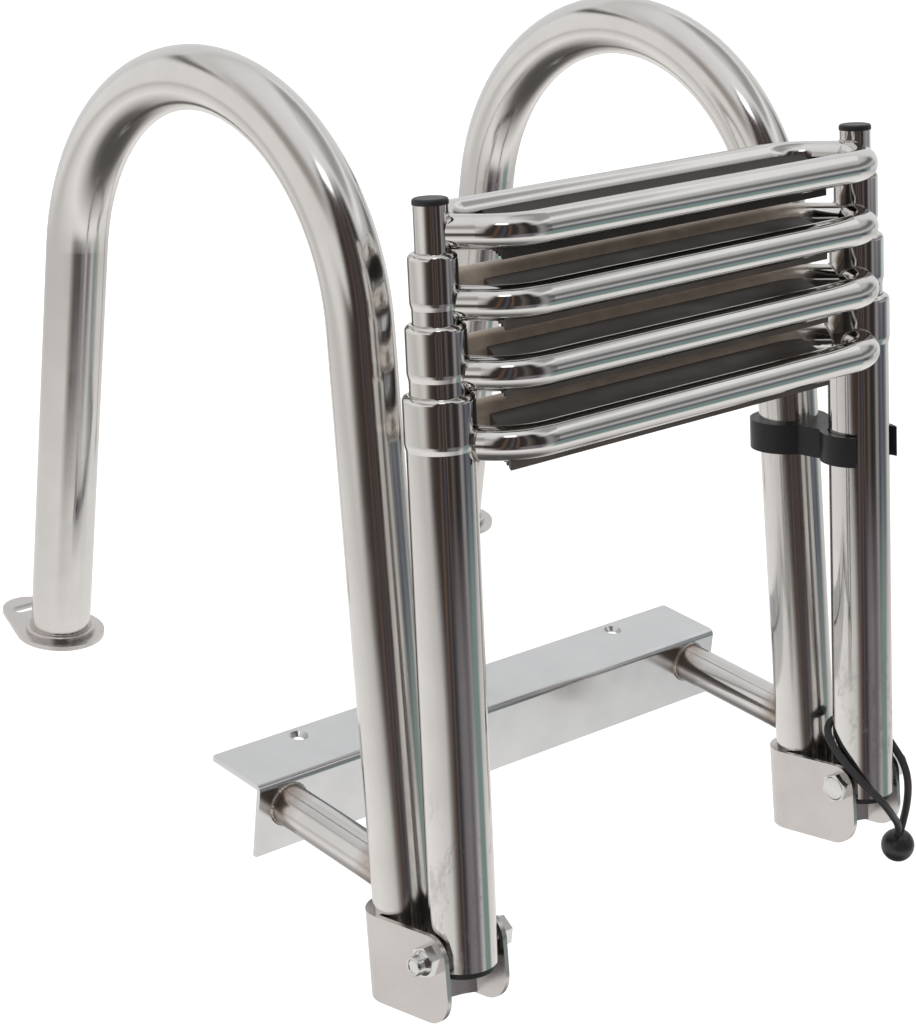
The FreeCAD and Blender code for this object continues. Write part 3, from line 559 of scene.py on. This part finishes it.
def black_plastic(name, tone, gloss, grain, depth, sheen=0.45):
    """Moulded black plastic with a fine grain and a slight change of sheen."""
    make = Nodes(name)
    pits = make.noise(make.place(), grain, 3.0)
    cloud = make.noise(make.place(), 40.0, 3.0, 0.5)
    colour = make.mix(make.reach(cloud, 0.3, 0.7, 0.0, 1.0), tone, tuple(part * 1.5 for part in tone))
    rough = make.reach(cloud, 0.3, 0.7, gloss, gloss + 0.12)
    return make.set(Base_Color=colour, Roughness=rough, Normal=make.bump(pits, depth, 0.0003),
                    Specular_IOR_Level=sheen)


rail_steel = steel("rail_steel", (0.78, 0.765, 0.745), 0.12, UPRIGHT)
stile_steel = steel("stile_steel", (0.77, 0.755, 0.735), 0.05, UPRIGHT, stain=worn_foot)
plate_steel = steel("plate_steel", (0.70, 0.675, 0.66), 0.24, smudge=0.05, scratch=0.1, relief=0.25)
angle_steel = steel("angle_steel", (0.75, 0.755, 0.765), 0.17, CROSSWISE, 0.05, relief=0.4)
standoff_steel = steel("standoff_steel", (0.74, 0.73, 0.72), 0.10, CROSSWISE, 0.05, stain=heat_tint)
bolt_steel = steel("bolt_steel", (0.78, 0.78, 0.76), 0.12, relief=0.3)
rung_steel = steel("rung_steel", (0.77, 0.76, 0.745), 0.05, CROSSWISE)
# The lower rungs carry a painted reflection: a tan on their inboard bars in place of the treads above mirrored in
# them
rung_steel_painted_reflection = steel("rung_steel_painted_reflection", (0.77, 0.76, 0.745), 0.05, CROSSWISE, stain=painted_bar_reflection)
weld_steel = steel("weld_steel", (0.60, 0.56, 0.52), 0.22, smudge=0.10, relief=0.3)

# Lit and shaded copies of one tread plastic: the lower treads are painted lighter and browner as painted light, and
# the top tread darker with less sheen as painted shade
tread_plastic = black_plastic("tread_plastic", (0.056, 0.045, 0.037), 0.5, 900.0, 0.3)
top_tread_painted_shade = black_plastic("top_tread_painted_shade", (0.022, 0.019, 0.017), 0.6, 900.0, 0.3, 0.2)
clip_plastic = black_plastic("clip_plastic", (0.010, 0.010, 0.012), 0.30, 700.0, 0.08, 0.30)
cap_plastic = black_plastic("cap_plastic", (0.012, 0.012, 0.013), 0.32, 600.0, 0.1, 0.35)
ball_plastic = black_plastic("ball_plastic", (0.013, 0.013, 0.013), 0.26, 400.0, 0.02, 0.6)
cord_rubber = black_plastic("cord_rubber", (0.018, 0.018, 0.019), 0.42, 1400.0, 0.35)

PAINT = {
    rail_steel: ("handrail",),
    plate_steel: ("deck_flange", "hinge_clevis", "hinge_stop"),
    bolt_steel: ("hinge_bolt", "hinge_nut"),
    standoff_steel: ("standoff",),
    angle_steel: ("mounting_angle",),
    stile_steel: ("outer_tube", "second_tube", "third_tube", "inner_tube", "outer_collar", "second_collar",
                  "third_collar"),
    rung_steel: ("inner_rung",),
    rung_steel_painted_reflection: ("outer_rung", "second_rung", "third_rung"),
    tread_plastic: ("outer_tread", "second_tread", "third_tread"),
    top_tread_painted_shade: ("inner_tread",),
    clip_plastic: ("storage_clip",),
    cap_plastic: ("top_cap", "foot_plug"),
    ball_plastic: ("cord_ball",),
}


def paint(thing, material):
    thing.data.materials.clear()
    thing.data.materials.append(material)


def paint_all():
    material_of = {name: material for material, names in PAINT.items() for name in names}
    for node, thing in nodes.items():
        name = node.removesuffix("_left").removesuffix("_right")
        if name in material_of:
            paint(thing, material_of[name])
    paint(cord, cord_rubber)
    for piece in beads:
        paint(piece, weld_steel)
    for piece in turnings:
        paint(piece, bolt_steel)


paint_all()

# Studio: a white floor, soft lamps, and a dome that only reflections see

# Tones of the dome, by bearing in degrees from inboard towards the right, or by height in degrees
SIDE_TONES = (
    (0, 0.76), (84, 0.76), (90, (0.62, 0.66, 0.65)), (102, (0.66, 0.66, 0.66)), (109, (0.22, 0.24, 0.24)),
    (112.5, (0.26, 0.38, 0.355)), (116, (0.16, 0.18, 0.19)), (124, (0.09, 0.085, 0.11)), (136, (0.15, 0.15, 0.19)),
    (146, (0.06, 0.058, 0.07)), (154, (0.30, 0.29, 0.29)), (160, (0.28, 0.27, 0.27)), (166, (0.05, 0.044, 0.046)),
    (178, (0.026, 0.023, 0.024)), (184, (0.075, 0.062, 0.056)), (190, (0.13, 0.115, 0.105)),
    (194, (0.05, 0.042, 0.040)), (202, (0.034, 0.028, 0.027)), (205, (0.17, 0.105, 0.075)),
    (208, (0.030, 0.026, 0.026)), (213, (0.085, 0.085, 0.10)), (218, (0.028, 0.028, 0.033)),
    (224, (0.14, 0.082, 0.056)), (228, (0.035, 0.030, 0.028)), (244, (0.060, 0.050, 0.045)),
    (252, (0.12, 0.10, 0.09)), (260, (0.34, 0.31, 0.29)), (270, (0.68, 0.66, 0.64)), (280, (0.82, 0.80, 0.78)),
    (346, (0.86, 0.85, 0.84)), (354, 0.74),
)
SHADE_TONES = (
    (152, (0.34, 0.32, 0.33)), (162, (0.24, 0.225, 0.24)), (172, (0.15, 0.14, 0.155)), (182, (0.22, 0.205, 0.22)),
    (196, (0.19, 0.175, 0.185)), (203, (0.09, 0.08, 0.085)), (209, (0.045, 0.038, 0.038)),
    (214, (0.10, 0.092, 0.096)), (220, (0.05, 0.042, 0.04)), (226, (0.15, 0.10, 0.078)), (232, (0.05, 0.04, 0.037)),
    (246, (0.08, 0.068, 0.062)),
)
NEAR_WALL_TONES = ((2, 0.30), (5, 0.55), (10, 0.50), (14, 0.20), (22, 0.17), (27, 0.46), (33, 0.58))
FAR_ROOF_TONES = ((36, (0.62, 0.61, 0.60)), (53, (0.78, 0.77, 0.78)), (88, 0.90))
NEAR_ROOF_TONES = ((34, 0.50), (40, 0.92), (45, 0.92), (50, 0.40), (62, 0.36), (80, 0.70))
GROUND_TONES = (
    (-72, (0.10, 0.095, 0.09)), (-60, (0.16, 0.15, 0.145)), (-49, (0.52, 0.50, 0.49)), (-34, (0.94, 0.92, 0.90)),
    (-22, (0.78, 0.76, 0.74)), (-15, (0.60, 0.58, 0.57)),
)
TEAL_BAND = ((120, 129, 146, 156), (-28, -22, -10, -6), (0.22, 0.305, 0.285))
DARK_SEAM = ((312, 326, 350, 358), (24, 28, 30, 35), (0.07, 0.06, 0.055))
GREY_PATCH = ((240, 262, 290, 326), (22, 31, 40, 50), (0.36, 0.33, 0.31))
SOFT_BOX = ((206, 210, 232, 236), (56, 58, 65, 67), (2.6, 2.6, 2.6))
DOME_RADIUS = 4.0
DOME_CENTRE = (0, 0, 0.15)


def dome_directions(make):
    """Bearing and height of a point of the dome, each scaled to between 0 and 1."""
    spot = make.add("ShaderNodeTexCoord")
    unit = make.add("ShaderNodeVectorMath", operation="NORMALIZE")
    split = make.add("ShaderNodeSeparateXYZ")
    make.link(spot.outputs["Object"], unit.inputs[0])
    make.link(unit.outputs[0], split.inputs[0])
    across, inboard, up = split.outputs
    bearing = make.math("DIVIDE", make.math("ARCTAN2", across, inboard), 2 * math.pi)
    bearing = make.math("FRACT", make.math("ADD", bearing, 1.0))
    height = make.reach(make.math("ARCSINE", up), -math.pi / 2, math.pi / 2, 0.0, 1.0)
    return bearing, height


def dome_tone(make):
    """Pale walls and roof, the unlit side behind the camera, a dark ground and a soft box."""
    bearing, height = dome_directions(make)

    def by_bearing(stops):
        return make.ramp(bearing, [(angle / 360, tone) for angle, tone in stops])

    def by_height(stops):
        return make.ramp(height, [((90 + angle) / 180, tone) for angle, tone in stops])

    def window(ramp, angles):
        """A mask that rises from the first angle to the second and falls from the third to the fourth."""
        return ramp(tuple(zip(angles, (0.0, 1.0, 1.0, 0.0))))

    def area(bearings, heights):
        return make.math("MULTIPLY", window(by_bearing, bearings), window(by_height, heights))

    near_wall = area((80, 92, 138, 152), (-3, 2, 80, 85))
    walls = make.mix(near_wall, by_bearing(SIDE_TONES), by_height(NEAR_WALL_TONES))
    walls = make.mix(area((238, 250, 275, 290), (3, 9, 34, 40)), walls, (0.80, 0.78, 0.76))
    dark_side = window(by_bearing, (158, 172, 236, 250))
    roof = make.mix(dark_side, by_height(((34, 0.0), (39, 1.0))), by_height(((56, 0.0), (68, 1.0))))
    near_side = window(by_bearing, (36, 52, 138, 156))
    roof_tone = make.mix(near_side, by_height(FAR_ROOF_TONES), by_height(NEAR_ROOF_TONES))
    tone = make.mix(roof, walls, roof_tone)
    tone = make.mix(by_height(((-15, 1.0), (-10, 0.0))), tone, by_height(GROUND_TONES))
    tone = make.mix(area((150, 168, 226, 246), (-27, -22, -8, -4)), tone, by_bearing(SHADE_TONES))
    for bearings, heights, colour in (TEAL_BAND, DARK_SEAM, GREY_PATCH, SOFT_BOX):
        tone = make.mix(area(bearings, heights), tone, colour)
    return tone


def studio_dome():
    make = Nodes("studio_dome")
    glow = make.add("ShaderNodeEmission")
    make.link(dome_tone(make), glow.inputs["Color"])
    make.link(glow.outputs[0], make.tree.nodes["Material Output"].inputs["Surface"])
    bpy.ops.mesh.primitive_uv_sphere_add(segments=64, ring_count=32, radius=DOME_RADIUS, location=DOME_CENTRE)
    dome = bpy.context.object
    dome.name = "studio_dome"
    paint(dome, make.material)
    for ray in ("camera", "diffuse", "shadow", "transmission", "volume_scatter"):
        setattr(dome, "visible_" + ray, False)


FLOOR_LIFT = 0.2
FLOOR_GAP = 0.002
FLOOR_SIZE = 30.0


def floor_height():
    """Just below the ladder's end when it is folded out and fully drawn out."""
    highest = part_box("top_cap_left")[1].z
    return 2 * HINGE_Z - SLIDE_REACH * math.cos(STILE_LEAN) - highest - FLOOR_GAP


def studio_floor():
    """A white floor, lifted to full white for the camera alone."""
    make = Nodes("studio_floor")
    make.set(Base_Color=(0.97, 0.97, 0.97), Roughness=0.9, Emission_Color=(1.0, 1.0, 1.0))
    path = make.add("ShaderNodeLightPath")
    make.set(Emission_Strength=make.math("MULTIPLY", path.outputs["Is Camera Ray"], FLOOR_LIFT))
    bpy.ops.mesh.primitive_plane_add(size=FLOOR_SIZE, location=(0, 0, floor_height()))
    floor = bpy.context.object
    floor.name = "studio_floor"
    paint(floor, make.material)
    floor.visible_glossy = False


WORLD_LIGHT = 0.45
WORLD_SEEN = 1.0


def world():
    """White for what the camera, mirrors and glass see, and a softer light for the rest."""
    space = bpy.data.worlds.new("studio")
    space.use_nodes = True
    scene.world = space
    tree = space.node_tree
    background = tree.nodes["Background"]
    background.inputs["Color"].default_value = (1.0, 1.0, 1.0, 1.0)
    path = tree.nodes.new("ShaderNodeLightPath")
    seen = path.outputs["Is Camera Ray"]
    for ray in ("Is Glossy Ray", "Is Transmission Ray"):
        either = tree.nodes.new("ShaderNodeMath")
        either.operation = "MAXIMUM"
        tree.links.new(seen, either.inputs[0])
        tree.links.new(path.outputs[ray], either.inputs[1])
        seen = either.outputs[0]
    strength = tree.nodes.new("ShaderNodeMapRange")
    strength.inputs["To Min"].default_value = WORLD_LIGHT
    strength.inputs["To Max"].default_value = WORLD_SEEN
    tree.links.new(seen, strength.inputs["Value"])
    tree.links.new(strength.outputs["Result"], background.inputs["Strength"])


def lamp(name, azimuth, elevation, spread, strength):
    """A wide soft light from one direction, left out of reflections."""
    data = bpy.data.lights.new(name, "SUN")
    data.angle = math.radians(spread)
    data.energy = strength
    light = bpy.data.objects.new(name, data)
    scene.collection.objects.link(light)
    light.rotation_euler = (math.radians(90 - elevation), 0.0, math.radians(180 - azimuth))
    light.visible_glossy = False


studio_dome()
studio_floor()
world()
lamp("key", azimuth=250.0, elevation=58.0, spread=50.0, strength=0.95)
lamp("top", azimuth=60.0, elevation=78.0, spread=70.0, strength=0.70)
lamp("front", azimuth=222.0, elevation=16.0, spread=50.0, strength=0.75)

scene.view_settings.view_transform = "Standard"
bpy.context.view_layer.update()
